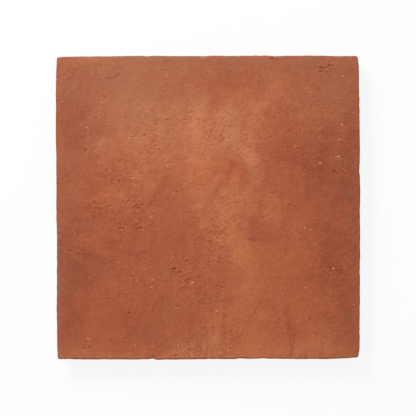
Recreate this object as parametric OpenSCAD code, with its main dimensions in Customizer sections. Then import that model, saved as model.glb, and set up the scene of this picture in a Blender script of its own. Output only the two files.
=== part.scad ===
// Square hand-moulded terracotta floor tile.
// The origin is the middle of the underside. +Z is up and +Y runs to the back side.

/* [Slab] */
// Length of each side, measured straight from corner to corner
side = 300; // [200:1:400]
// Height of the struck face above the bed
thickness = 30; // [18:1:60]

/* [Bowed sides] */
// How far the right side swells out at its middle
right_bow = 0.9; // [0:0.1:4]
// How far the back side swells out at its middle
back_bow = 0.3; // [0:0.1:4]
// How far the left side swells out at its middle
left_bow = 0.2; // [0:0.1:4]
// How far the front side swells out at its middle
front_bow = 0.6; // [0:0.1:4]

/* [Corners] */
// Radius of the back right corner
back_right_r = 2; // [0.5:0.1:12]
// Radius of the back left corner
back_left_r = 1.4; // [0.5:0.1:12]
// Radius of the front left corner
front_left_r = 2.6; // [0.5:0.1:12]
// Radius of the front right corner, which is the most worn
front_right_r = 4; // [0.5:0.1:12]

/* [Edge section] */
// How much further in the side stands at the bed than at the face
undercut = 1; // [0:0.1:4]
// Radius of the wiped arris round the struck face
face_arris = 1.6; // [0.4:0.1:5]
// Radius of the arris round the underside
bed_arris = 1.2; // [0.4:0.1:4]
// How much of the lower arris the bed pressed flat
bed_press = 0.3; // [0.1:0.05:0.35]

/* [Smoothness] */
// Steps in a corner
corner_steps = 6; // [3:1:12]
// Steps along a side
side_steps = 14; // [4:1:32]
// Steps round an arris
arris_steps = 6; // [3:1:12]

/* [Hidden] */
half = side / 2;
corner_r = [back_right_r, back_left_r, front_left_r, front_right_r];

// A point turned about Z by a number of quarter turns
function turned(p, quarters) = quarters == 0 ? p : turned([-p.y, p.x], quarters - 1);

// A point of the true square, moved to where the wet clay swelled
function swollen(p) =
    let (
        u = p.x / half,
        v = p.y / half,
        across = (1 + u) / 2 * right_bow - (1 - u) / 2 * left_bow,
        along = (1 + v) / 2 * back_bow - (1 - v) / 2 * front_bow
    )
    [p.x + across * (1 - v * v), p.y + along * (1 - u * u)];

// The rounded corner of one quarter, where quarter 0 is at the back right and 1 at the back left
function corner(quarter, inset) =
    let (
        r = corner_r[quarter],
        c = half - inset - r
    )
    [
        for (i = [0:corner_steps])
            let (a = 90 * i / corner_steps)
            turned([c + r * cos(a), c + r * sin(a)], quarter)
    ];

// The run along the side from that corner to the next one, without its ends
function run(quarter, inset) =
    let (
        h = half - inset,
        start = h - corner_r[quarter],
        end = corner_r[(quarter + 1) % 4] - h
    )
    [
        for (i = [1:side_steps - 1])
            turned([start + (end - start) * i / side_steps, h], quarter)
    ];

// The whole outline, anticlockwise, this far inside the widest one
function outline(inset) =
    [
        for (quarter = [0:3], p = concat(corner(quarter, inset), run(quarter, inset)))
            swollen(p)
    ];

// The edge's section from the bed up to the face: how far in, and how high
section = [
    for (i = [0:arris_steps])
        let (a = 90 * i / arris_steps)
        [undercut + bed_arris * (1 - sin(a)), bed_arris * (1 - cos(a)) - bed_press],
    for (i = [0:arris_steps])
        let (a = 90 * i / arris_steps)
        [face_arris * (1 - cos(a)), thickness - face_arris * (1 - sin(a))]
];

// The outline carried up the section and closed by a flat face at either end
module moulded_clay() {
    count = len(outline(0));
    rings = len(section);
    last = (rings - 1) * count;
    under = rings * count;
    over = under + 1;
    points = [
        for (s = section, p = outline(s[0]))
            [p.x, p.y, s[1]],
        [0, 0, section[0][1]],
        [0, 0, thickness]
    ];
    wall = [
        for (ring = [0:rings - 2], i = [0:count - 1])
            let (
                low = ring * count,
                next = (i + 1) % count
            )
            each [
                [low + i, low + count + i, low + count + next],
                [low + i, low + count + next, low + next]
            ]
    ];
    ends = [
        for (i = [0:count - 1])
            let (next = (i + 1) % count)
            each [
                [under, i, next],
                [over, last + next, last + i]
            ]
    ];
    polyhedron(points, concat(wall, ends), convexity = 4);
}

// The level sanded bench that the wet slab was pressed down on
module bench() {
    translate([-side, -side, -thickness])
        cube([2 * side, 2 * side, thickness]);
}

module tile() {
    color("#AB6144")
        difference() {
            moulded_clay();
            bench();
        }
}

tile();
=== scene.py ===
"""Dresses the square hand-moulded terracotta floor tile and sets it in a white studio.

The solid gives the outline and the section of the edges. This script lays a fine skin of clay over it,
presses the hand-made relief into that skin, fires it in a procedural terracotta and lights it from the
back left. Lengths in the lists below are in millimetres, and places count from the middle of the tile,
with X to the right and Y to the back. A turn is in degrees, anticlockwise.
"""
import math

import bmesh
import bpy
import numpy as np
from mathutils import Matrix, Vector, noise
from mathutils.bvhtree import BVHTree


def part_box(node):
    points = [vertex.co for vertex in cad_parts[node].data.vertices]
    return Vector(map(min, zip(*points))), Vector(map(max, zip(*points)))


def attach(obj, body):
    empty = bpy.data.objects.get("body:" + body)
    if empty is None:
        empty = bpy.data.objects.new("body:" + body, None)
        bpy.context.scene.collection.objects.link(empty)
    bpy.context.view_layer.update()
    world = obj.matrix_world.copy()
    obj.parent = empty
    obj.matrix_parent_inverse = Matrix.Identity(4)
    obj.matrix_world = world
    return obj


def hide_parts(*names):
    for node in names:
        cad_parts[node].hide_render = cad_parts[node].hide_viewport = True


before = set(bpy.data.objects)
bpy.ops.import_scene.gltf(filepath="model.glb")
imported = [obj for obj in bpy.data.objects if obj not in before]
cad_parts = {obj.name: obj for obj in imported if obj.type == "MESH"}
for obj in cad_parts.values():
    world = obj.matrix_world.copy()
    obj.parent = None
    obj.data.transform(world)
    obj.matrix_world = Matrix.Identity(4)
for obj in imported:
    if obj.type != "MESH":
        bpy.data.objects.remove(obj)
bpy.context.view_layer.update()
LOW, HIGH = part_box("tile")

bl_info = {
    "name": "Terracotta floor tile",
    "version": (1, 0, 0),
    "blender": (4, 5, 0),
    "location": "View3D > Sidebar > Tile",
    "description": "Dresses a square hand-moulded terracotta tile and its studio",
    "category": "Object",
}

MM = 0.001
TOP = HIGH.z / MM

# What the skin keeps at each of its points for the material
MARKS = ("kiln_tone_and_highlight", "dust", "open_skin", "pit", "grit_and_highlight")

# Kiln patches: x, y, half width, half height, paleness from -1 to 1, dust from -1 (warm) to 1 (dusty)
KILN_PATCHES = [
    # round the pale flame that runs from behind the middle down to the front
    (-14, 72, 18, 28, 0.28, -0.02),
    (-30, 88, 18, 18, 0.20, 0.05),
    (-6, 36, 14, 24, 0.34, -0.34),
    (-20, 8, 16, 18, 0.15, 0.00),
    (-1, 0, 12, 20, 0.18, -0.05),
    (-35, -10, 20, 14, 0.12, 0.00),
    (-3, -32, 14, 20, 0.08, -0.10),
    (22, 0, 32, 44, 0.15, 0.00),
    (12, -38, 14, 20, 0.15, 0.00),
    (22, 102, 22, 18, 0.18, 0.00),
    (15, -22, 8, 14, 0.15, 0.00),
    (42, 62, 8, 13, 0.15, -0.02),
    (30, 95, 9, 11, 0.26, 0.00),
    (10, -50, 8, 8, 0.22, 0.00),
    (50, -68, 10, 14, 0.06, -0.20),
    (2, 20, 10, 10, 0.13, -0.05),
    (14, 64, 10, 14, 0.26, -0.05),
    (42, 43, 8, 9, 0.25, 0.00),
    (40, 2, 8, 12, 0.26, -0.03),
    (40, -102, 9, 14, -0.16, 0.00),
    (20, 122, 26, 10, -0.25, 0.00),
    (30, 38, 7, 9, -0.04, -0.80),
    (6, 40, 12, 14, 0.08, -0.20),
    (40, -130, 22, 22, 0.10, -0.40),
    (6, -120, 14, 24, 0.06, -0.05),
    (1, -98, 10, 10, -0.15, 0.00),
    # the dusty back left
    (-65, 92, 38, 24, 0.40, 0.40),
    (-42, 66, 18, 16, 0.36, 0.12),
    (-70, 65, 18, 12, 0.36, 0.10),
    (-55, 44, 30, 16, 0.18, 0.00),
    (-108, 58, 14, 11, 0.35, 0.10),
    (-85, 128, 64, 26, 0.02, 0.48),
    (-113, 120, 18, 14, -0.20, 0.00),
    (-63, 27, 16, 14, 0.28, -0.05),
    (-98, 10, 20, 12, 0.24, -0.20),
    (-53, 69, 7, 8, -0.15, -0.10),
    (6, 99, 5, 12, -0.25, -0.10),
    # the cooler left margin
    (-130, 92, 18, 36, -0.55, 0.05),
    (-142, 0, 13, 150, -0.46, 0.21),
    (-133, -108, 18, 26, -0.45, 0.00),
    (-116, 6, 16, 24, -0.38, 0.03),
    (-138, 60, 22, 80, 0.00, 0.06),
    (-144, 60, 9, 14, 0.14, 0.05),
    (-121, 60, 9, 14, -0.13, 0.08),
    (-144, -62, 9, 12, 0.13, 0.00),
    (-130, -22, 18, 12, -0.13, 0.05),
    (-112, -112, 20, 20, -0.10, -0.08),
    # the darker front left
    (-127, -59, 24, 26, -0.50, 0.05),
    (-72, -38, 60, 44, -0.30, 0.00),
    (-80, -18, 14, 10, 0.12, -0.05),
    (-25, -26, 13, 18, -0.20, 0.05),
    (-54, -140, 16, 9, -0.28, 0.00),
    (-77, -119, 26, 24, -0.38, -0.05),
    (-50, -105, 30, 34, -0.12, 0.05),
    # the dark right
    (111, 42, 24, 30, -0.62, 0.05),
    (74, 44, 22, 28, -0.42, 0.00),
    (100, 30, 12, 14, 0.17, 0.00),
    (124, -45, 22, 60, -0.60, 0.00),
    (98, 6, 26, 26, -0.16, -0.08),
    (123, 74, 14, 14, -0.20, 0.00),
    (64, 0, 12, 12, 0.12, -0.10),
    (50, -23, 8, 8, -0.48, 0.00),
    (56, -11, 9, 6, 0.18, 0.00),
    (65, -27, 12, 8, -0.20, 0.00),
    (74, -53, 22, 22, 0.10, -0.30),
    (60, -60, 60, 60, 0.00, -0.12),
    (60, -34, 12, 12, -0.12, 0.00),
    (104, -70, 22, 18, -0.28, 0.02),
    (141, -25, 10, 18, 0.15, 0.00),
    (121, 97, 9, 9, 0.15, -0.05),
    (140, 95, 12, 24, -0.22, 0.00),
    (121, 60, 9, 12, -0.13, 0.03),
    (132, -120, 16, 14, -0.14, 0.00),
    (95, -105, 40, 26, 0.02, -0.25),
    (145, 10, 9, 130, -0.45, 0.16),
    (142, 45, 12, 40, -0.48, 0.08),
    (140, -108, 12, 26, -0.40, 0.18),
    (80, -132, 10, 16, -0.20, 0.00),
    (60, 32, 18, 20, 0.25, 0.00),
    # thin bands along the back and front
    (20, 142, 26, 12, -0.25, 0.08),
    (105, 140, 36, 14, -0.34, 0.25),
    (126, 108, 26, 22, -0.12, 0.26),
    (0, -146, 130, 9, 0.35, -0.08),
    (0, 150, 150, 14, 0.00, 0.42),
    (80, 118, 60, 22, 0.00, 0.12),
    (-112, 74, 20, 22, -0.08, 0.22),
    (98, -138, 30, 12, 0.34, -0.06),
    # a painted highlight: the pale band inside the back left arris, where it catches the light
    (-110, 147, 34, 4, 0.32, 0.10),
    (-132, -144, 18, 6, 0.14, 0.24),
]

# Flame and smoke drawn along a path: half width, paleness, dust, and the points that each runs through
KILN_STROKES = [
    # the flame's tongue, its second tongue with a side branch, and its foot
    (7, 0.26, 0.15, [(-6, 113), (-6, 96)]),
    (15, 0.36, 0.00, [(-8, 90), (-10, 68), (-8, 48)]),
    (11, 0.66, 0.18, [(15, 92), (20, 82), (27, 68), (38, 56), (42, 52)]),
    (8, 0.46, -0.10, [(43, 74), (46, 86), (48, 93)]),
    (13, 0.24, -0.04, [(57, 104), (62, 111), (69, 119)]),
    (9, 0.54, -0.42, [(24, 24), (21, 8), (19, -8), (23, -28), (33, -46)]),
    (13, 0.30, -0.25, [(36, -50), (39, -64), (38, -80), (37, -94), (42, -120), (45, -148)]),
    # darker streaks
    (3.5, -0.60, -0.20, [(23, 43), (19, 32)]),
    (3.5, -0.36, -0.10, [(19, 32), (10, 14)]),
    (3, -0.28, 0.00, [(34, 46), (31, 24)]),
    (2.5, -0.30, 0.00, [(45, -14), (42, -24), (43, -33)]),
    (5, -0.28, 0.00, [(-42, 30), (-54, 9)]),
    (4.5, -0.30, 0.00, [(-3, -88), (-13, -100), (-19, -120)]),
    (3, -0.28, 0.06, [(78, -102), (80, -122), (83, -142)]),
    # pale ones at the front
    (3, 0.20, 0.12, [(5, -84), (8, -104)]),
    (3, 0.26, 0.10, [(9, -108), (8, -146)]),
    (2, 0.22, 0.10, [(0, -118), (-1, -147)]),
    (2, 0.20, 0.05, [(20, -124), (19, -147)]),
    (3, 0.26, 0.08, [(-16, -136), (-15, -148)]),
    (5, 0.22, 0.05, [(-36, -130), (-24, -138)]),
]

# Where the strike tore the skin and the sandy body shows: x, y, half width, half height, how open
OPEN_PATCHES = [
    (-60, 70, 52, 36, 0.45),
    (5, 64, 22, 36, 0.48),
    (-82, 2, 34, 30, 0.80),
    (3, -30, 18, 40, 0.55),
    (-45, -66, 46, 24, 0.55),
    (112, 62, 34, 38, 0.45),
    (104, -58, 44, 46, 0.40),
    (4, -118, 22, 34, 0.50),
    (62, 92, 38, 36, 0.35),
    (48, -15, 26, 30, 0.35),
    # small torn clumps round the pits
    (-72, 3, 11, 8, 0.90),
    (-76, -20, 14, 5, 0.80),
    (-104, -3, 14, 8, 0.15),
    (-73, 27, 7, 5, 0.70),
    (-19, -73, 11, 8, 0.90),
    (-46, -71, 12, 8, 0.70),
    (2, -30, 12, 14, 0.60),
    (116, 138, 10, 5, 0.80),
    (130, 45, 8, 14, 0.60),
    (-22, -140, 24, 8, 0.60),
]

# Patches of parallel wipe lines: x, y, half length, half width, turn of the lines, depth
WIPES = [
    (-112, -18, 45, 36, -8, 0.10),
    (-125, -52, 34, 30, -30, 0.13),
    (6, -122, 40, 24, 88, 0.16),
    (75, 20, 60, 40, 80, 0.06),
    (-40, 70, 60, 50, 10, 0.06),
    (-60, -60, 60, 30, 12, 0.06),
    (95, -90, 50, 40, 60, 0.05),
]

# Pits and slits in the face: x, y, length, width, turn, depth
PITS = [
    # round the large bare crumb in front of the middle
    (-33.2, -60.8, 5.5, 1.6, 2, 0.90),
    (-27.4, -64.6, 3.2, 2.4, -20, 0.40),
    (-19.0, -72.2, 6.0, 2.0, 30, 0.50),
    (-22.8, -72.6, 3.0, 1.6, 0, 0.40),
    (-13.7, -80.4, 3.0, 1.6, -60, 0.34),
    (-10.6, -84.4, 5.0, 1.8, -55, 0.36),
    (-3.4, -87.4, 3.0, 2.0, 0, 0.22),
    (-44.6, -72.2, 4.0, 2.4, 60, 0.28),
    (-21.0, -53.5, 6.0, 1.8, 40, 0.26),
    # the row of slits and the torn clump left of the middle
    (-86.6, -20.6, 2.4, 1.7, 0, 0.46),
    (-83.6, -20.8, 2.8, 1.8, 0, 0.54),
    (-78.4, -20.8, 3.0, 1.5, 0, 0.40),
    (-74.6, -20.8, 3.6, 1.6, 0, 0.44),
    (-67.0, -20.6, 5.4, 2.2, 12, 0.70),
    (-61.0, -11.0, 2.6, 1.8, 0, 0.26),
    (-78.0, 6.6, 2.4, 1.8, 0, 0.34),
    (-73.4, 3.6, 2.6, 2.0, 30, 0.36),
    (-70.6, 2.2, 2.4, 1.6, 60, 0.34),
    (-68.4, -0.2, 3.4, 2.2, -40, 0.56),
    (-73.3, 0.4, 2.6, 1.8, 0, 0.40),
    (-77.4, 2.9, 2.0, 1.6, 0, 0.30),
    (-94.4, 27.4, 1.9, 1.5, 0, 0.70),
    (-87.4, 26.5, 2.1, 1.5, 0, 0.66),
    (-94.4, 23.8, 1.7, 1.4, 0, 0.48),
    (-77.4, 29.6, 2.2, 1.6, 0, 0.28),
    (-72.4, 30.4, 1.8, 1.6, 0, 0.30),
    (-75.4, 25.0, 2.2, 1.4, 0, 0.26),
    (-70.6, 25.0, 1.8, 1.4, 0, 0.24),
    (-109.5, -0.6, 14.0, 1.4, 0, 0.16),
    (-105.6, -2.4, 3.0, 2.2, 0, 0.34),
    (-112.0, -9.8, 5.0, 1.8, 80, 0.26),
    (-92.0, -12.0, 8.0, 2.5, 15, 0.18),
    (-122.0, -29.4, 2.6, 2.4, 0, 0.26),
    (-137.2, -43.0, 2.8, 2.2, 0, 0.34),
    (-53.5, 10.5, 5.0, 3.0, -20, 0.20),
    # the back left
    (-121.0, 57.0, 5.0, 3.4, 60, 0.36),
    (-111.8, 88.2, 2.4, 1.8, 60, 0.40),
    (-61.6, 71.6, 3.0, 2.0, 20, 0.40),
    (-54.6, 64.2, 2.6, 1.8, 10, 0.46),
    (-51.8, 66.2, 3.0, 2.0, 20, 0.30),
    (-47.2, 57.4, 2.6, 1.8, 30, 0.42),
    (-40.2, 87.0, 2.0, 1.6, 0, 0.48),
    (-40.0, 135.6, 2.2, 1.8, 0, 0.36),
    (-56.6, 147.2, 2.4, 1.2, 60, 0.30),
    (-58.0, 43.4, 2.0, 1.8, 0, 0.28),
    (-79.5, 45.5, 2.4, 1.6, 0, 0.26),
    (-103.0, 40.7, 2.4, 2.4, 0, 0.22),
    (-70.0, 42.0, 3.0, 2.0, 0, 0.18),
    (-30.2, 14.6, 4.0, 2.4, 50, 0.34),
    # the flame
    (-9.8, 118.0, 2.4, 1.8, 0, 0.36),
    (13.2, 71.0, 2.2, 1.6, -40, 0.54),
    (16.2, 68.2, 2.8, 1.8, -50, 0.42),
    (13.2, 64.0, 2.0, 1.6, 0, 0.34),
    (-8.0, 87.2, 5.0, 1.4, 5, 0.36),
    (-21.4, 86.4, 6.0, 1.4, 0, 0.34),
    (0.2, 99.0, 2.0, 1.6, 0, 0.32),
    (4.4, -11.8, 2.8, 1.8, 0, 0.42),
    (12.4, -26.8, 2.8, 2.2, 80, 0.36),
    (2.6, -25.2, 5.0, 2.5, 30, 0.24),
    (2.0, -35.0, 3.0, 2.0, 0, 0.26),
    (31.0, -17.2, 2.0, 1.6, 0, 0.30),
    (40.6, -32.6, 3.0, 1.8, 0, 0.42),
    (0.6, -54.8, 3.4, 2.2, 35, 0.38),
    (5.5, -53.0, 2.6, 1.8, 0, 0.26),
    (20.0, -55.8, 2.4, 1.6, 0, 0.26),
    (14.2, -79.4, 3.0, 1.6, 0, 0.36),
    (9.8, -77.8, 2.4, 1.6, 0, 0.30),
    (14.4, -75.2, 2.0, 1.6, 0, 0.26),
    # the torn mark at the back right
    (115.4, 137.4, 7.0, 2.2, -2, 0.74),
    (119.4, 138.6, 2.8, 1.8, 40, 0.46),
    (113.0, 138.6, 3.0, 1.5, 20, 0.36),
    (112.6, 133.8, 5.6, 1.6, 0, 0.48),
    (121.4, 140.0, 3.0, 2.0, 50, 0.90),
    (124.2, 139.6, 3.0, 1.6, 0, 0.38),
    (64.6, 147.2, 2.4, 2.2, 0, 0.85),
    (145.0, 146.0, 3.0, 2.0, 0, 0.32),
    # the right
    (83.7, 104.4, 2.2, 1.8, 0, 0.30),
    (132.6, 109.0, 2.2, 1.8, 80, 0.30),
    (125.6, 35.0, 4.6, 1.8, -35, 0.66),
    (128.8, 33.2, 3.8, 1.5, -30, 0.46),
    (134.8, 48.6, 3.0, 2.0, 0, 0.40),
    (81.6, 1.8, 4.8, 2.0, -12, 0.46),
    (85.2, 0.4, 2.2, 1.4, -40, 0.30),
    (64.4, 13.5, 8.0, 1.4, 0, 0.34),
    (132.0, -66.2, 3.0, 1.6, -10, 0.40),
    (126.8, -61.0, 1.4, 2.0, 0, 0.32),
    (121.6, -60.8, 1.6, 2.0, 0, 0.28),
    (147.2, -25.2, 2.0, 2.0, 0, 0.60),
    (132.9, -6.2, 3.2, 1.4, 10, 0.36),
    (111.6, 29.0, 2.6, 1.8, 20, 0.34),
    (141.8, 6.3, 3.2, 1.3, 0, 0.30),
    (113.0, 14.6, 2.4, 1.8, 0, 0.28),
    (100.8, -111.0, 2.0, 2.6, 0, 0.54),
    (100.4, -105.4, 1.8, 1.4, 0, 0.26),
    (87.4, -111.0, 1.6, 4.0, 0, 0.22),
    # the front left
    (-97.8, -90.2, 3.2, 2.2, 0, 0.34),
    (-87.0, -86.0, 2.2, 1.6, 0, 0.34),
    (-78.8, -104.4, 1.9, 1.5, 60, 0.75),
    (-30.8, -98.2, 2.2, 1.8, 0, 0.40),
    (-26.8, -96.8, 2.2, 1.6, 0, 0.38),
    (-133.0, -115.8, 2.8, 2.0, 0, 0.32),
    (-123.8, -139.0, 2.0, 2.4, 0, 0.38),
    (-116.8, -138.4, 2.2, 2.4, 0, 0.42),
    (-32.2, -146.6, 2.4, 2.4, 0, 0.70),
    (-50.0, -147.6, 2.4, 2.0, 0, 0.40),
    (-53.8, -148.2, 3.4, 1.6, 0, 0.50),
    (-82.0, -129.4, 4.0, 2.0, 0, 0.28),
    (-107.4, -96.4, 4.0, 1.4, 5, 0.28),
]

# Lips and crumbs of clay that stand up beside the pits: x, y, length, width, turn, height
LIPS = [
    (-62.0, -17.6, 7.0, 2.0, 40, 0.45),
    (-70.6, -3.0, 6.0, 2.6, -10, 0.24),
    (-72.0, 7.8, 4.0, 2.2, -30, 0.30),
    (-107.5, -4.6, 6.0, 2.2, 0, 0.30),
    (-102.5, 12.2, 12.0, 3.0, 0, 0.25),
    (-87.0, -23.2, 4.0, 2.0, 0, 0.30),
    (-24.0, -77.0, 6.0, 1.8, 35, 0.40),
    (-16.2, -64.0, 3.0, 2.2, 0, 0.35),
    (118.4, 136.6, 5.0, 2.2, 20, 0.40),
    (-93.0, 133.0, 4.0, 2.0, 35, 0.30),
    (47.0, 85.0, 4.0, 3.0, 0, 0.25),
    (-39.4, 84.0, 4.0, 2.6, 0, 0.30),
    (-78.5, -50.0, 4.0, 3.0, 0, 0.30),
]

# Pale grains of grog and shell that the strike left bare: x, y, width
GRITS = [
    (-106.8, 89.4, 2.2),
    (-119.4, 79.6, 2.6),
    (-118.0, 77.6, 2.0),
    (-77.6, 68.8, 2.6),
    (-142.4, 68.6, 1.8),
    (-74.4, 29.2, 2.6),
    (-86.8, 38.8, 2.0),
    (-18.4, 74.6, 2.4),
    (-58.4, 146.6, 1.7),
    (-4.6, 147.4, 2.1),
    (28.2, 83.4, 2.0),
    (16.2, 33.8, 1.6),
    (133.4, 81.8, 2.4),
    (110.6, 70.0, 2.0),
    (130.4, 67.0, 1.8),
    (129.8, 49.8, 2.8),
    (132.6, 48.2, 1.8),
    (134.4, 37.8, 1.6),
    (133.8, 130.0, 2.4),
    (101.2, -22.6, 2.0),
    (106.2, -37.2, 2.0),
    (124.4, -61.0, 2.4),
    (35.2, -39.2, 1.8),
    (-22.4, -49.4, 1.6),
    (-70.8, -72.2, 2.2),
    (-77.6, -70.2, 1.8),
    (-16.4, -75.2, 2.6),
    (-15.2, -73.8, 2.4),
    (-16.4, -73.6, 1.8),
    (9.4, -102.6, 2.6),
    (9.6, -120.4, 1.6),
    (-24.2, -112.6, 1.6),
    (126.4, -124.8, 2.0),
    (-16.4, -146.6, 3.0),
    (-17.2, -144.2, 1.8),
    (6.0, -145.8, 2.0),
    (-119.0, -130.0, 2.2),
    (-71.0, 15.0, 1.8),
    (-55.2, -71.0, 1.8),
    (-44.0, -71.0, 1.6),
    (-48.2, -79.4, 1.7),
    (-83.0, -25.0, 1.6),
    (-16.0, -7.0, 1.6),
    (5.0, -50.0, 2.0),
    (98.0, 118.0, 2.0),
    (-24.0, -140.0, 1.8),
    (-32.0, -79.0, 1.6),
    (-34.0, 14.0, 1.8),
    (145.0, -96.4, 2.1),
    (96.5, -137.5, 1.7),
    (96.5, -79.4, 1.7),
    (102.6, -56.0, 1.6),
    (-66.4, -57.8, 1.8),
    (-71.2, -65.4, 1.6),
    (-58.2, -59.9, 1.7),
    (-60.2, -73.6, 1.6),
    (-85.6, -87.6, 1.6),
    (-62.3, -142.3, 1.6),
    (-114.5, -120.3, 1.5),
    (-38.0, -133.0, 1.8),
    (-30.0, -136.5, 2.1),
    (-20.0, -142.0, 2.0),
    (-11.5, -145.0, 2.1),
    (-4.0, -139.0, 1.7),
    (5.5, -128.0, 2.0),
    (12.0, -133.5, 1.8),
    (20.0, -141.0, 2.0),
    (27.0, -137.5, 1.6),
    (3.0, -113.0, 1.7),
    (14.0, -121.0, 1.7),
]

# Scratches, cracks and drag lines: width, depth, and the points that each runs through
SCRATCHES = [
    (1.6, 0.70, [(-98.6, 127.6), (-92.0, 128.4), (-87.4, 132.6)]),
    (2.4, 0.20, [(57.0, -84.0), (46.0, -105.0), (37.0, -119.0), (31.0, -129.0)]),
    (2.2, 0.36, [(78.6, -115.0), (79.6, -124.0), (82.0, -134.0), (83.0, -145.0)]),
    (1.8, 0.12, [(53.0, 12.0), (53.2, -10.0)]),
    (1.2, 0.16, [(-4.6, 79.6), (-1.6, 71.4)]),
    (1.4, 0.13, [(-149.0, -22.0), (-136.0, -27.0), (-126.0, -34.0)]),
    (1.4, 0.13, [(-148.0, -34.0), (-134.0, -43.0), (-121.0, -54.0)]),
    (1.4, 0.12, [(-146.0, -52.0), (-132.0, -60.0)]),
]

# Chips and scoops in the upper arris: x, y, half width, depth
ARRIS_CHIPS = [
    (-59.0, 150.0, 4.0, 0.7),
    (-4.0, 150.2, 3.5, 0.6),
    (70.0, 150.2, 5.0, 0.4),
    (131.0, 150.0, 12.0, 0.4),
    (150.0, 37.0, 4.0, 0.4),
    (-55.5, -150.2, 2.5, 0.5),
    (33.0, -150.4, 5.0, 0.6),
    (-149.8, -44.0, 8.0, 0.4),
    (-149.4, 149.4, 3.0, 0.9),
    (150.0, 149.4, 2.5, 0.5),
]

# Bulges and hollows of each side: place along the side, half length, how far out
RIM_BULGES = {
    "right": [(148, 8, -0.6), (105, 30, 0.2), (36, 4, -0.25), (-115, 35, -0.35), (-149, 6, -0.9)],
    "back": [(-140, 14, -0.15), (-118, 7, -0.4), (-80, 30, 0.2), (66, 3, -0.15)],
    "left": [(146, 6, -0.4), (95, 30, 0.35), (-32, 20, -0.25), (-62, 20, -0.2), (-147, 6, -0.5)],
    "front": [
        (-135, 12, -0.3), (-70, 14, 0.25), (-55.5, 2, -0.35), (-50, 3.5, 0.4),
        (33, 5, -0.4), (53, 5, -0.35), (100, 34, 0.35), (146, 8, -0.75),
    ],
}

# Cells this near the bed or the top count as lying on it, and points this near the top as the face's, in mm
CELL_LAYER = 1.0
POINT_LAYER = 1.2

# How open the skin of the face is between the torn patches, its least and most, and that of the sides
FACE_OPEN = 0.82
LEAST_OPEN = 0.4
MOST_OPEN = 2.6
SIDE_OPEN = 0.9

# Length and width of a wipe line in mm, and how much paler it is for each mm that it stands up
WIPE_LENGTH = 40.0
WIPE_WIDTH = 3.0
WIPE_PALE = 3

# Depth of the folds and pocks in the sides and of the bench's sand in the bed, in mm
FOLD_DEPTH = 0.5
POCK_DEPTH = 0.9
BENCH_SAND = 0.25

# How much painted shade lies in the folds and pocks
FOLD_SHADE = 0.35
POCK_SHADE = 0.4

# Shares of its depth that a pit's bowl sinks and its rim stands up, and that a scratch's lip stands up
PIT_BOWL = 1.2
PIT_RIM = 0.3
SCRATCH_LIP = 0.25

# How far the painted shade in a pit lies towards its back left wall, which the key light leaves in shade,
# in mm
PIT_SHADE_X = -0.25
PIT_SHADE_Y = 0.35

# How much painted highlight a lip gets for each mm of its height, and how much painted shade a scratch
# holds for each mm of its depth
LIP_HIGHLIGHT = 0.4
SCRATCH_SHADE = 1.2

# How high a bare grain stands and how deep the moat round it is, in mm, and its width along X over Y
GRAIN_RISE = 0.2
GRAIN_MOAT = 0.1
GRAIN_WIDER = 1.15

# How pale a bare grain is for each mm of its width, and how much painted shade lies in the moat round it
GRAIN_PALE = 0.42
MOAT_SHADE = 0.25

# Depth of the crumbled stretches of the upper arris, in mm
CRUMB_DEPTH = 0.5

# How much paler the strip inside the rim is, and, besides, at the corners
RIM_PALER = 0.14
CORNER_PALER = 0.22

# How much darker the outermost strip of the face is, that at the back, and the left one besides
STRIP_DARKER = 0.36
BACK_STRIP_DARKER = 0.10
LEFT_STRIP_DARKER = 0.4

# How much darker the arris is at the back and front, and at the left and right, and how dusty it is
ARRIS_DARKER = 0.50
SIDE_ARRIS_DARKER = 0.80
ARRIS_DUST = 0.45

# How strongly the grain's dips and tips, the grog, the painted shade in pores and tears, and the dust show
# in the colour
DIP_SHOWS = 1.75
TIP_SHOWS = 0.56
GROG_SHOWS = 0.70
PORE_SHADE_SHOWS = 0.10
DUST_SHOWS = 0.8

# How high the small tears, pores and grains of sand stand, in mm
TEAR_RISE = -0.18
PORE_RISE = -0.12
SAND_RISE = 0.45

# Half the floor's side, and the place and the width of the soft light, in metres
FLOOR_HALF = 4.0
KEY_PLACE = (-0.75, 1.1, 1.35)
KEY_WIDTH = 0.9

# The share of plain white in the floor where it is seen, which leaves a trace of the tile's shadow
FLOOR_WHITE = 0.88

# Width of the camera's sensor in mm, and where the view's middle lies from the tile's, in metres
SENSOR_WIDTH = 36.0
VIEW_X = 0.15 * MM
VIEW_Y = -0.6 * MM


def linear(code):
    """A linear colour with full alpha from an sRGB hex code."""
    parts = [int(code[i : i + 2], 16) / 255 for i in (1, 3, 5)]
    return [p / 12.92 if p <= 0.04045 else ((p + 0.055) / 1.055) ** 2.4 for p in parts] + [1.0]


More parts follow.
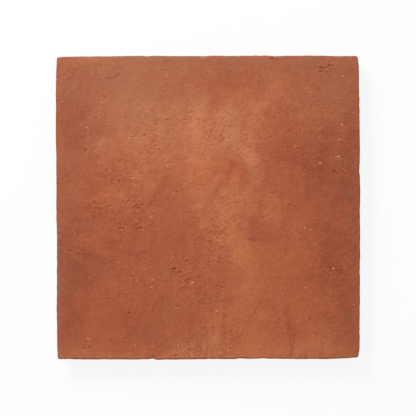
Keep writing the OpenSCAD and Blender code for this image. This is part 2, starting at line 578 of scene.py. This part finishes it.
class TILE_PG_clay(bpy.types.PropertyGroup):
    """The clay's relief, patterns and colours."""

    cell: bpy.props.FloatProperty(
        name="Cell", description="Coarsest cell of the skin",
        default=6 * MM, unit="LENGTH", precision=4,
    )
    undulation: bpy.props.FloatProperty(
        name="Undulation", description="Depth of the slow waves that the strike left in the face",
        default=0.30 * MM, unit="LENGTH", precision=5,
    )
    lumps: bpy.props.FloatProperty(
        name="Lumps", description="Depth of the small lumps and dents in the face",
        default=0.28 * MM, unit="LENGTH", precision=5,
    )
    wobble: bpy.props.FloatProperty(
        name="Wobble", description="How far the sides waver",
        default=0.22 * MM, unit="LENGTH", precision=5,
    )
    side_drag: bpy.props.FloatProperty(
        name="Side drag", description="Depth of the creases that the mould drew down the sides",
        default=0.36 * MM, unit="LENGTH", precision=5,
    )
    cloud: bpy.props.FloatProperty(
        name="Cloud", description="Width of the small clouds in the fired colour",
        default=14 * MM, unit="LENGTH", precision=4,
    )
    sand: bpy.props.FloatProperty(
        name="Sand", description="Width of the sandy grain",
        default=2.1 * MM, unit="LENGTH", precision=5,
    )
    tear: bpy.props.FloatProperty(
        name="Tear", description="Width of the small tears in the open skin",
        default=4.0 * MM, unit="LENGTH", precision=5,
    )
    pore: bpy.props.FloatProperty(
        name="Pore", description="Distance from one open pore to the next",
        default=6 * MM, unit="LENGTH", precision=5,
    )
    grog: bpy.props.FloatProperty(
        name="Grog", description="Distance from one small pale grain to the next",
        default=8 * MM, unit="LENGTH", precision=5,
    )
    body: bpy.props.FloatVectorProperty(
        name="Body", description="Fired clay at its usual heat",
        subtype="COLOR", size=4, default=linear("#AD5F40"),
    )
    pale: bpy.props.FloatVectorProperty(
        name="Pale", description="Clay in the hottest flame",
        subtype="COLOR", size=4, default=linear("#C87D55"),
    )
    dark: bpy.props.FloatVectorProperty(
        name="Dark", description="Clay in the smoke",
        subtype="COLOR", size=4, default=linear("#944931"),
    )
    dusty: bpy.props.FloatVectorProperty(
        name="Dusty", description="Thin dry bloom",
        subtype="COLOR", size=4, default=linear("#A07055"),
    )
    warm: bpy.props.FloatVectorProperty(
        name="Warm", description="Iron-rich clay in the clean flame",
        subtype="COLOR", size=4, default=linear("#B86236"),
    )
    # the bare grains' own colour, also used for the painted highlight on the lips
    grit_and_highlight: bpy.props.FloatVectorProperty(
        name="Grit", description="Bare grains",
        subtype="COLOR", size=4, default=linear("#D88F6E"),
    )
    deep: bpy.props.FloatVectorProperty(
        name="Deep", description="Clay in the dips of the grain, which light each other",
        subtype="COLOR", size=4, default=linear("#9C4420"),
    )
    # Painted shade and bounce light in the pits, pores, tears, scratches, folds and moats
    hollow_shade: bpy.props.FloatVectorProperty(
        name="Hollow", description="Soil in the pits",
        subtype="COLOR", size=4, default=linear("#8C2A00"),
    )


class TILE_PG_studio(bpy.types.PropertyGroup):
    """The studio round the tile."""

    picture_side: bpy.props.FloatProperty(
        name="Picture side", description="Width of the view at the face of the tile",
        default=411.9 * MM, unit="LENGTH", precision=4,
    )
    lens: bpy.props.FloatProperty(
        name="Lens", description="Focal length in millimetres",
        default=105.0, subtype="DISTANCE_CAMERA",
    )
    roll: bpy.props.FloatProperty(
        name="Roll", description="Turn of the camera about its view",
        default=math.radians(-0.19), subtype="ANGLE",
    )
    key_power: bpy.props.FloatProperty(
        name="Key light", description="Power of the large soft light at the back left",
        default=29.0, unit="POWER",
    )
    sky: bpy.props.FloatProperty(
        name="Sky", description="Strength of the even light from all round",
        default=0.43, min=0.0,
    )
    floor: bpy.props.FloatVectorProperty(
        name="Floor", description="Paper of the floor",
        subtype="COLOR", size=4, default=linear("#F7F7F6"),
    )


def ease(start, end, value):
    """0 before start and 1 after end, with a smooth step between them."""
    t = np.clip((value - start) / (end - start), 0.0, 1.0)
    return t * t * (3.0 - 2.0 * t)


def band(start, full, fade, end, value):
    """1 from full to fade, with a smooth step up from start and one down to end."""
    return ease(start, full, value) * (1 - ease(fade, end, value))


def clay_noise(points, size, octaves, shift=0.0):
    """Fractal noise of about -1 to 1 at points in mm. size is one lump in mm, or one for each axis."""
    scaled = points / np.asarray(size, float) + shift
    return np.array([noise.fractal(Vector(p), 1.0, 2.0, octaves) for p in scaled])


def turned(x, y, degrees):
    """x and y as seen from axes that are turned by this much."""
    a = math.radians(degrees)
    return x * math.cos(a) + y * math.sin(a), y * math.cos(a) - x * math.sin(a)


def blot(x, y, half_w, half_h):
    """A soft oval that is 1 in its middle, at x and y from there."""
    return np.exp(-((x / half_w) ** 2) - (y / half_h) ** 2)


def along_path(x, y, path):
    """Distance from each point to a line of straight stretches."""
    near = np.full(len(x), np.inf)
    for (ax, ay), (bx, by) in zip(path, path[1:]):
        dx, dy = bx - ax, by - ay
        t = np.clip(((x - ax) * dx + (y - ay) * dy) / (dx * dx + dy * dy), 0, 1)
        near = np.minimum(near, np.hypot(x - ax - t * dx, y - ay - t * dy))
    return near


def inset_of(points):
    """How far each point lies inside the nearest side of the box."""
    x, y = points[:, 0], points[:, 1]
    across = np.minimum(x - LOW.x / MM, HIGH.x / MM - x)
    along = np.minimum(y - LOW.y / MM, HIGH.y / MM - y)
    return np.minimum(across, along)


def near_marks(points, margin):
    """Which points lie on or near a mark of the face."""
    x, y, z = points.T
    found = np.zeros(len(points), bool)
    for px, py, length, width, turn, _ in PITS + LIPS:
        u, v = turned(x - px, y - py, turn)
        found |= (abs(u) < length / 2 + margin) & (abs(v) < width / 2 + margin)
    for px, py, width in GRITS:
        found |= np.hypot(x - px, y - py) < width / 2 + margin
    for width, _, path in SCRATCHES:
        found |= along_path(x, y, path) < width / 2 + margin
    return found & (z > TOP - CELL_LAYER)


def off_bed(points, strip):
    """Which points lie above the bed, or on it within a strip along its rim."""
    return (points[:, 2] > CELL_LAYER) | (inset_of(points) < strip)


def near_arris(points, reach):
    """Which points lie this near the upper edge of the box."""
    return np.hypot(np.maximum(0, inset_of(points)), TOP - points[:, 2]) < reach


def slab_skin(cells):
    """A closed box of unit cells as a bmesh, with this many cells along X, Y and Z."""
    bm = bmesh.new()
    corners = {}

    def corner(*key):
        if key not in corners:
            corners[key] = bm.verts.new(key)
        return corners[key]

    for axis in range(3):
        u, v = (axis + 1) % 3, (axis + 2) % 3
        for level in (0, cells[axis]):
            for i in range(cells[u]):
                for j in range(cells[v]):
                    ring = []
                    for du, dv in ((0, 0), (1, 0), (1, 1), (0, 1)):
                        key = [0, 0, 0]
                        key[axis], key[u], key[v] = level, i + du, j + dv
                        ring.append(corner(*key))
                    bm.faces.new(ring if level else ring[::-1])
    return bm


def refine(bm, wanted):
    """Halves the cells of the faces that wanted picks from an array of their middles in mm."""
    faces = list(bm.faces)
    middles = np.array([f.calc_center_median() for f in faces]) / MM
    picked = np.flatnonzero(wanted(middles))
    edges = {e for i in picked for e in faces[i].edges}
    bmesh.ops.subdivide_edges(bm, edges=list(edges), cuts=1, use_grid_fill=True)


def fine_skin(clay):
    """The skin of the solid, with small cells on the sides, at the upper arris and round the marks."""
    size = HIGH - LOW
    cells = [max(2, round(s / clay.cell)) for s in size]
    bm = slab_skin(cells)
    for v in bm.verts:
        v.co = Vector([LOW[i] + size[i] * v.co[i] / cells[i] for i in range(3)])
    refine(bm, lambda p: off_bed(p, strip=14))
    refine(bm, lambda p: off_bed(p, strip=4))
    refine(bm, lambda p: near_arris(p, reach=2.4) | near_marks(p, margin=1.2))
    refine(bm, lambda p: near_marks(p, margin=0.3))
    solid = BVHTree.FromObject(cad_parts["tile"], bpy.context.evaluated_depsgraph_get())
    for v in bm.verts:
        v.co = solid.find_nearest(v.co)[0]
    bm.normal_update()
    return bm


class Skin:
    """The points of the skin in mm, how far the clay stands out at each, and the marks for the material."""

    def __init__(self, bm):
        count = len(bm.verts)
        self.points = np.array([v.co for v in bm.verts]) / MM
        self.normals = np.array([v.normal for v in bm.verts])
        self.flat = self.points * (1, 1, 0)
        self.up = ease(0.3, 0.9, self.normals[:, 2])
        self.down = ease(0.3, 0.9, -self.normals[:, 2])
        self.side = np.clip(1 - self.up - self.down, 0, 1)
        self.height = np.zeros(count)
        self.marks = {name: np.zeros(count) for name in MARKS}

    def stain(self, glow, paleness, dust):
        """Adds one patch of the fired colour, as strong at each point as glow is there."""
        self.marks["kiln_tone_and_highlight"] += paleness * glow
        self.marks["dust"] += dust * glow

    def fire(self):
        """Pale, dark, dusty and warm patches, as the flame and smoke of the kiln left them, and a painted
        highlight where the back left arris catches the light.
        """

        def drift(shift):
            """How far the rims of the patches wander, in mm."""
            slow = clay_noise(self.flat, size=24, octaves=3, shift=shift)
            quick = clay_noise(self.flat, size=7, octaves=2, shift=shift)
            return 4 * slow + 2 * quick

        x, y = self.points[:, 0] + drift(11), self.points[:, 1] + drift(17)
        for px, py, half_w, half_h, paleness, dust in KILN_PATCHES:
            self.stain(blot(x - px, y - py, half_w, half_h), paleness, dust)
        for half_w, paleness, dust, path in KILN_STROKES:
            self.stain(np.exp(-((along_path(x, y, path) / half_w) ** 2)), paleness, dust)
        uneven = 0.12
        self.marks["kiln_tone_and_highlight"] += uneven * clay_noise(self.points, size=22, octaves=4, shift=2.2)
        self.marks["dust"] += uneven * clay_noise(self.points, size=28, octaves=3, shift=6.6)

    def strike(self, clay):
        """Slow waves, lumps and wipe lines in the face, and the patches where the skin tore open."""
        x, y = self.points[:, 0], self.points[:, 1]
        tear = FACE_OPEN + 0.3 * clay_noise(self.flat, size=26, octaves=3, shift=8.8)
        for px, py, half_w, half_h, amount in OPEN_PATCHES:
            tear += amount * blot(x - px, y - py, half_w, half_h)
        tear *= 1 + 0.6 * clay_noise(self.flat, size=9, octaves=2, shift=5.5)
        self.marks["open_skin"] = np.clip(tear, LEAST_OPEN, MOST_OPEN)
        waves = clay_noise(self.flat, size=75, octaves=2) * clay.undulation / MM
        lumps = clay_noise(self.flat, size=8, octaves=3, shift=7.3) * (0.4 + self.marks["open_skin"])
        waves += lumps * clay.lumps / MM
        for px, py, half_l, half_w, turn, depth in WIPES:
            u, v = turned(x - px, y - py, turn)
            # the third value gives each patch lines of its own
            lines = np.column_stack([u / WIPE_LENGTH, v / WIPE_WIDTH, np.full(len(u), 0.37 * px)])
            streaks = depth * clay_noise(lines, size=1, octaves=2) * blot(u, v, half_l, half_w)
            waves += streaks
            self.marks["kiln_tone_and_highlight"] += WIPE_PALE * self.up * streaks
        self.height += self.up * waves

    def mould(self, clay):
        """Creases, folds and pocks that the mould left on the sides, and the sanded bench under the bed."""
        drag = clay_noise(self.points, size=(30, 30, 3.4), octaves=3, shift=1.7)
        drag += 0.5 * clay_noise(self.points, size=(4, 4, 16), octaves=2, shift=5.9)
        self.height += self.side * drag * clay.side_drag / MM
        wall = self.side * (1 - ease(-4.0, -1.0, self.points[:, 2] - TOP))
        seam = clay_noise(self.points, size=(60, 60, 14), octaves=2, shift=3.9)
        fold = np.maximum(0, 1 - abs(seam) / 0.12)
        fold *= ease(0.0, 0.5, clay_noise(self.points, size=30, octaves=2, shift=8.1))
        pock = ease(0.30, 0.75, clay_noise(self.points, size=(6, 6, 5), octaves=2, shift=4.7))
        self.height -= wall * (FOLD_DEPTH * fold + POCK_DEPTH * pock)
        # painted shade in the folds and pocks
        self.marks["pit"] += wall * np.maximum(FOLD_SHADE * fold, POCK_SHADE * pock)
        sand = BENCH_SAND + BENCH_SAND * clay_noise(self.points, size=7, octaves=3, shift=9.2)
        self.height -= self.down * sand
        self.marks["open_skin"] = np.where(self.up < 0.5, SIDE_OPEN, self.marks["open_skin"])

    def scar(self):
        """The pits, lips, scratches and bare grains of the face."""
        face = self.points[:, 2] > TOP - POINT_LAYER
        ragged = [0.6 * clay_noise(self.flat, size=1.8, octaves=2, shift=s) for s in (4.4, 6.1)]
        x, y = self.points[:, 0] + ragged[0], self.points[:, 1] + ragged[1]
        broken = 0.65 + 0.5 * clay_noise(self.flat, size=5, octaves=2, shift=3.3)
        pit, grit_and_highlight = self.marks["pit"], self.marks["grit_and_highlight"]
        for px, py, length, width, turn, depth in PITS:
            u, v = turned(x - px, y - py, turn)
            d = np.hypot(u / (length / 2 + 0.3), v / (width / 2 + 0.3))
            bowl = face * (1 - ease(0.1, 1.3, d))
            rim = face * band(0.8, 1.4, 1.4, 2.4, d)
            self.height += depth * (PIT_RIM * rim - PIT_BOWL * bowl)
            # painted shade in the pit, laid towards its back left wall, which the key light leaves in shade
            u, v = turned(x - px - PIT_SHADE_X, y - py - PIT_SHADE_Y, turn)
            d = np.hypot(u / (length / 2 + 0.1), v / (width / 2 + 0.1))
            pit_shade = face * (1 - ease(0.1, 1.2, d))
            np.maximum(pit, depth * pit_shade, out=pit)
        for px, py, length, width, turn, height in LIPS:
            u, v = turned(x - px, y - py, turn)
            ridge = face * blot(u, v, length / 2, width / 2)
            self.height += height * ridge
            # painted highlight on the raised lip, stronger the higher it stands
            np.maximum(grit_and_highlight, LIP_HIGHLIGHT * height * ridge, out=grit_and_highlight)
        for width, depth, path in SCRATCHES:
            d = along_path(x, y, path) / (width / 2)
            cut = face * broken * (1 - ease(0.0, 1.3, d))
            lip = face * broken * band(0.9, 1.4, 1.4, 2.4, d)
            self.height += depth * (SCRATCH_LIP * lip - cut)
            # painted shade in the cut of the scratch
            np.maximum(pit, SCRATCH_SHADE * depth * cut, out=pit)
        for px, py, width in GRITS:
            d = np.hypot(x - px, (y - py) * GRAIN_WIDER) / (width / 2)
            grain = face * (1 - ease(0.3, 1.3, d))
            moat = face * (1 - ease(1.1, 1.9, d))
            self.height += GRAIN_RISE * grain - GRAIN_MOAT * moat
            np.maximum(grit_and_highlight, min(1.0, GRAIN_PALE * width) * grain, out=grit_and_highlight)
            # painted shade in the moat round the grain
            np.maximum(pit, MOAT_SHADE * (moat - grain), out=pit)

    def chip(self):
        """Chips and crumbled stretches of the upper arris, its darkening, and the paler strip inside it."""
        x, y, z = self.points.T
        arris = ease(-4.0, -0.5, z - TOP) * (1 - ease(0.96, 1.0, self.normals[:, 2]))
        for px, py, half, depth in ARRIS_CHIPS:
            self.height -= depth * arris * blot(x - px, y - py, half, half)
        crumbs = np.maximum(0, clay_noise(self.points, size=5, octaves=3, shift=12.3) - 0.15)
        self.height -= CRUMB_DEPTH * arris * crumbs

        # The arris and the outermost strip of the face are made darker, most at the left, least at the
        # back.
        # The strip inside it is made paler, most at the corners and not along the back.
        inset = inset_of(self.points)
        at_back = y > np.abs(x)
        at_left_or_right = np.abs(x) > np.abs(y)
        at_corner = ease(128, 146, np.minimum(np.abs(x), np.abs(y)))
        pale_strip = self.up * band(1.8, 2.4, 2.8, 4.0, inset)
        strip = self.up * (1 - ease(1.2, 2.2, inset))
        left_strip = self.up * (1 - ease(1.2, 2.4, x - LOW.x / MM))
        tone = self.marks["kiln_tone_and_highlight"]
        tone += (np.where(at_back, 0.0, RIM_PALER) + CORNER_PALER * at_corner) * pale_strip
        tone -= np.where(at_back, BACK_STRIP_DARKER, STRIP_DARKER) * strip
        tone -= np.where(at_left_or_right, SIDE_ARRIS_DARKER, ARRIS_DARKER) * arris
        tone -= LEFT_STRIP_DARKER * left_strip
        self.marks["dust"] += ARRIS_DUST * arris

    def waver(self, clay):
        """How far each point moves along X and Y, because the sides waver."""
        x, y = self.points[:, 0], self.points[:, 1]
        reach = 7.0
        shift = np.zeros((len(x), 3))
        sides = {
            "right": (0, 1, HIGH.x / MM - x, y),
            "back": (1, 1, HIGH.y / MM - y, x),
            "left": (0, -1, x - LOW.x / MM, y),
            "front": (1, -1, y - LOW.y / MM, x),
        }
        for number, (side, (axis, sign, inset, place)) in enumerate(sides.items()):
            near = 1 - ease(0, reach, inset)
            # each side has a line of the noise of its own
            line = np.column_stack([place, np.full(len(x), 40.0 * number), np.zeros(len(x))])
            out = clay_noise(line, size=26, octaves=3) * clay.wobble / MM
            for centre, half, swell in RIM_BULGES[side]:
                out += swell * np.exp(-(((place - centre) / half) ** 2))
            shift[:, axis] += sign * out * near
        return shift

    def shaped(self, clay):
        """The points of the finished skin, with none below the bed."""
        moved = self.points + self.normals * self.height[:, None] + self.waver(clay)
        moved[:, 2] = np.maximum(moved[:, 2], 0)
        return moved * MM


def add_node(tree, kind, settings, inputs, output=0):
    """Adds a shader node with its settings, and links or fills its inputs.
    It returns one of the node's outputs, or the node itself where it has none."""
    node = tree.nodes.new("ShaderNode" + kind)
    for name, value in settings.items():
        setattr(node, name, value)
    for name, value in inputs.items():
        socket = next(s for s in node.inputs if name in (s.identifier, s.name))
        if isinstance(value, bpy.types.NodeSocket):
            tree.links.new(value, socket)
        else:
            socket.default_value = value
    return node.outputs[output] if node.outputs else node


def unglazed_terracotta(clay):
    """Unglazed terracotta: iron-rich clay, struck by hand, dried and fired once in a wood kiln.
    It gives the eye a dry, fully matt, sandy skin, orange where the flame was hottest and brown in the
    smoke, with pale grains of grog and small dark pores."""
    material = bpy.data.materials.new("unglazed_terracotta")
    material.use_nodes = True
    tree = material.node_tree
    tree.nodes.clear()
    place = add_node(tree, "TexCoord", {}, {}, "Object")
    tone, dust, rough, pit, grit_and_highlight = [
        add_node(tree, "Attribute", {"attribute_name": name}, {}, "Fac") for name in MARKS
    ]

    # The sand, tears, pores and grog are drawn two or three times their real size, so that they show
    cloud = add_node(
        tree, "TexNoise", {}, {"Vector": place, "Scale": 1 / clay.cloud, "Detail": 3.0, "Roughness": 0.65}
    )
    sand = add_node(
        tree, "TexNoise", {}, {"Vector": place, "Scale": 1 / clay.sand, "Detail": 2.0, "Roughness": 0.6}
    )
    sand = add_node(tree, "Math", {"operation": "SUBTRACT"}, {"Value": sand, "Value_001": 0.5})
    tear = add_node(
        tree, "TexNoise", {},
        {"Vector": place, "Scale": 1 / clay.tear, "Detail": 1.5, "Roughness": 0.5, "Distortion": 0.3},
    )
    smooth = {"interpolation_type": "SMOOTHSTEP"}
    tear = add_node(tree, "MapRange", smooth, {"Value": tear, "From Min": 0.54, "From Max": 0.78})
    pore = add_node(tree, "TexVoronoi", {}, {"Vector": place, "Scale": 1 / clay.pore})
    open_pores = add_node(tree, "SeparateColor", {}, {"Color": pore.node.outputs["Color"]})
    pore = add_node(
        tree, "MapRange", smooth, {"Value": pore, "From Min": 0.22, "From Max": 0.06, "To Max": open_pores}
    )
    grog = add_node(tree, "TexVoronoi", {}, {"Vector": place, "Scale": 1 / clay.grog})
    bare_grog = add_node(tree, "SeparateColor", {}, {"Color": grog.node.outputs["Color"]})
    bare_grog = add_node(tree, "Math", {"operation": "POWER"}, {"Value": bare_grog, "Value_001": 4.0})
    grog = add_node(
        tree, "MapRange", smooth, {"Value": grog, "From Min": 0.18, "From Max": 0.05, "To Max": bare_grog}
    )

    # All four show more where the skin is open
    sand, tear, pore, grog = [
        add_node(tree, "Math", {"operation": "MULTIPLY"}, {"Value": pattern, "Value_001": rough})
        for pattern in (sand, tear, pore, grog)
    ]

    # Clouds shift the tone that the kiln left
    shade = add_node(tree, "Math", {"operation": "ADD"}, {"Value": cloud, "Value_001": tone})
    shade = add_node(tree, "MapRange", {}, {"Value": shade, "From Min": -0.42, "From Max": 1.42})
    colour = add_node(tree, "ValToRGB", {}, {"Fac": shade})
    ramp = colour.node.color_ramp
    ramp.elements[0].color = clay.dark
    ramp.elements[1].color = clay.pale
    ramp.elements.new(0.5).color = clay.body

    # The sand's dips are redder and its tips paler, and dust is a bloom above 0 and a warm glow below it
    clamped = {"operation": "MULTIPLY", "use_clamp": True}
    dip, tip, bloom, glow = [
        add_node(tree, "Math", clamped, {"Value": value, "Value_001": strength})
        for value, strength in (
            (sand, -DIP_SHOWS), (sand, TIP_SHOWS), (dust, DUST_SHOWS), (dust, -DUST_SHOWS)
        )
    ]
    speck = add_node(tree, "Math", {"operation": "MULTIPLY"}, {"Value": grog, "Value_001": GROG_SHOWS})
    for pale in (grit_and_highlight, tip):
        speck = add_node(tree, "Math", {"operation": "MAXIMUM"}, {"Value": speck, "Value_001": pale})
    # painted shade in the open pores and tears, and in the pits
    pit_shade = add_node(tree, "Math", {"operation": "MAXIMUM"}, {"Value": pore, "Value_001": tear})
    pit_shade = add_node(tree, "Math", {"operation": "MULTIPLY"}, {"Value": pit_shade, "Value_001": PORE_SHADE_SHOWS})
    pit_shade = add_node(tree, "Math", {"operation": "MAXIMUM"}, {"Value": pit_shade, "Value_001": pit})
    for amount, over in (
        (bloom, clay.dusty), (glow, clay.warm), (dip, clay.deep), (pit_shade, clay.hollow_shade), (speck, clay.grit_and_highlight)
    ):
        colour = add_node(
            tree, "Mix", {"data_type": "RGBA"},
            {"Factor_Float": amount, "A_Color": colour, "B_Color": over}, 2,
        )

    # The height of the fine relief, in mm
    rise = add_node(tree, "Math", {"operation": "MULTIPLY"}, {"Value": tear, "Value_001": TEAR_RISE})
    for pattern, height in ((pore, PORE_RISE), (sand, SAND_RISE)):
        rise = add_node(
            tree, "Math", {"operation": "MULTIPLY_ADD"},
            {"Value": pattern, "Value_001": height, "Value_002": rise},
        )
    bump = add_node(tree, "Bump", {}, {"Height": rise, "Strength": 1.0, "Distance": MM})
    shader = add_node(
        tree, "BsdfPrincipled", {},
        {"Base Color": colour, "Roughness": 0.9, "IOR": 1.5, "Specular IOR Level": 0.18, "Normal": bump},
    )
    add_node(tree, "OutputMaterial", {}, {"Surface": shader})
    return material


class TILE_OT_make_tile(bpy.types.Operator):
    """Lay the fired clay skin over the solid"""

    bl_idname = "tile.make_tile"
    bl_label = "Make tile"

    def execute(self, context):
        clay = context.scene.tile_clay
        bm = fine_skin(clay)
        skin = Skin(bm)
        skin.fire()
        skin.strike(clay)
        skin.mould(clay)
        skin.scar()
        skin.chip()
        mesh = bpy.data.meshes.new("terracotta_tile")
        bm.to_mesh(mesh)
        bm.free()
        mesh.vertices.foreach_set("co", skin.shaped(clay).ravel())
        mesh.polygons.foreach_set("use_smooth", np.ones(len(mesh.polygons), bool))
        for name, values in skin.marks.items():
            kept = mesh.attributes.new(name, "FLOAT", "POINT")
            kept.data.foreach_set("value", values.astype(np.float32))
        mesh.update()
        mesh.materials.append(unglazed_terracotta(clay))
        piece = bpy.data.objects.new("terracotta_tile", mesh)
        context.scene.collection.objects.link(piece)
        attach(piece, "root")
        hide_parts("tile")
        return {"FINISHED"}


class TILE_OT_make_studio(bpy.types.Operator):
    """Set up the white floor, the soft light and the camera"""

    bl_idname = "tile.make_studio"
    bl_label = "Make studio"

    def execute(self, context):
        scene = context.scene
        studio = scene.tile_studio
        scene.view_settings.view_transform = "Standard"
        self.floor(scene, studio)
        self.sky(scene, studio)
        self.key(scene, studio)
        self.camera(scene, studio)
        return {"FINISHED"}

    def floor(self, scene, studio):
        """A wide sheet of white paper.
        The eye and mirrors see it as white, with a trace of the tile's shadow."""
        mesh = bpy.data.meshes.new("studio_floor")
        corners = [(x * FLOOR_HALF, y * FLOOR_HALF, 0) for x, y in ((-1, -1), (1, -1), (1, 1), (-1, 1))]
        mesh.from_pydata(corners, [], [(0, 1, 2, 3)])
        floor = bpy.data.objects.new("studio_floor", mesh)
        scene.collection.objects.link(floor)
        material = bpy.data.materials.new("white_paper")
        material.use_nodes = True
        tree = material.node_tree
        tree.nodes.clear()
        seen = self.seen(tree)
        share = add_node(tree, "Math", {"operation": "MULTIPLY"}, {"Value": seen, "Value_001": FLOOR_WHITE})
        paper = add_node(tree, "BsdfDiffuse", {}, {"Color": studio.floor})
        glow = add_node(tree, "Emission", {}, {"Color": (1, 1, 1, 1), "Strength": 1.0})
        mixed = add_node(tree, "MixShader", {}, {"Fac": share, "Shader": paper, "Shader_001": glow})
        add_node(tree, "OutputMaterial", {}, {"Surface": mixed})
        mesh.materials.append(material)

    def seen(self, tree):
        """1 for rays that reach the eye straight, by reflection or through glass."""
        rays = add_node(tree, "LightPath", {}, {}).node.outputs
        seen = rays["Is Camera Ray"]
        for ray in (rays["Is Glossy Ray"], rays["Is Transmission Ray"]):
            seen = add_node(tree, "Math", {"operation": "MAXIMUM"}, {"Value": seen, "Value_001": ray})
        return seen

    def sky(self, scene, studio):
        """An even sky, which is plain white where it is seen."""
        world = bpy.data.worlds.new("studio_sky")
        scene.world = world
        world.use_nodes = True
        tree = world.node_tree
        tree.nodes.clear()
        strength = add_node(
            tree, "MapRange", {}, {"Value": self.seen(tree), "To Min": studio.sky, "To Max": 1.0}
        )
        sky = add_node(tree, "Background", {}, {"Color": (1, 1, 1, 1), "Strength": strength})
        add_node(tree, "OutputWorld", {}, {"Surface": sky})

    def key(self, scene, studio):
        """One large soft light at the back left."""
        light = bpy.data.lights.new("key_light", "AREA")
        light.shape = "DISK"
        light.size = KEY_WIDTH
        light.energy = studio.key_power
        key = bpy.data.objects.new("key_light", light)
        key.location = KEY_PLACE
        key.rotation_euler = (-key.location).to_track_quat("-Z", "Y").to_euler()
        scene.collection.objects.link(key)

    def camera(self, scene, studio):
        """A long lens straight above the tile."""
        camera = bpy.data.cameras.new("overhead_camera")
        camera.sensor_width = SENSOR_WIDTH
        camera.lens = studio.lens
        view = bpy.data.objects.new("overhead_camera", camera)
        height = studio.picture_side * studio.lens / camera.sensor_width
        view.location = (VIEW_X, VIEW_Y, HIGH.z + height)
        view.rotation_euler = (0, 0, studio.roll)
        scene.collection.objects.link(view)
        scene.camera = view


class TILE_PT_panel(bpy.types.Panel):
    """Makes the tile and its studio"""

    bl_idname = "TILE_PT_panel"
    bl_label = "Terracotta tile"
    bl_space_type = "VIEW_3D"
    bl_region_type = "UI"
    bl_category = "Tile"

    def draw(self, context):
        for group, operator in (("tile_clay", TILE_OT_make_tile), ("tile_studio", TILE_OT_make_studio)):
            values = getattr(context.scene, group)
            column = self.layout.column()
            for name in values.__annotations__:
                column.prop(values, name)
            column.operator(operator.bl_idname)


CLASSES = (TILE_PG_clay, TILE_PG_studio, TILE_OT_make_tile, TILE_OT_make_studio, TILE_PT_panel)


def register():
    """Adds the classes and the two groups of values to Blender."""
    for cls in CLASSES:
        bpy.utils.register_class(cls)
    bpy.types.Scene.tile_clay = bpy.props.PointerProperty(type=TILE_PG_clay)
    bpy.types.Scene.tile_studio = bpy.props.PointerProperty(type=TILE_PG_studio)


def unregister():
    """Takes the classes and the two groups of values out again."""
    del bpy.types.Scene.tile_studio
    del bpy.types.Scene.tile_clay
    for cls in reversed(CLASSES):
        bpy.utils.unregister_class(cls)


def main():
    """Makes the tile and the studio."""
    register()
    bpy.ops.tile.make_tile()
    bpy.ops.tile.make_studio()


if __name__ == "__main__":
    main()
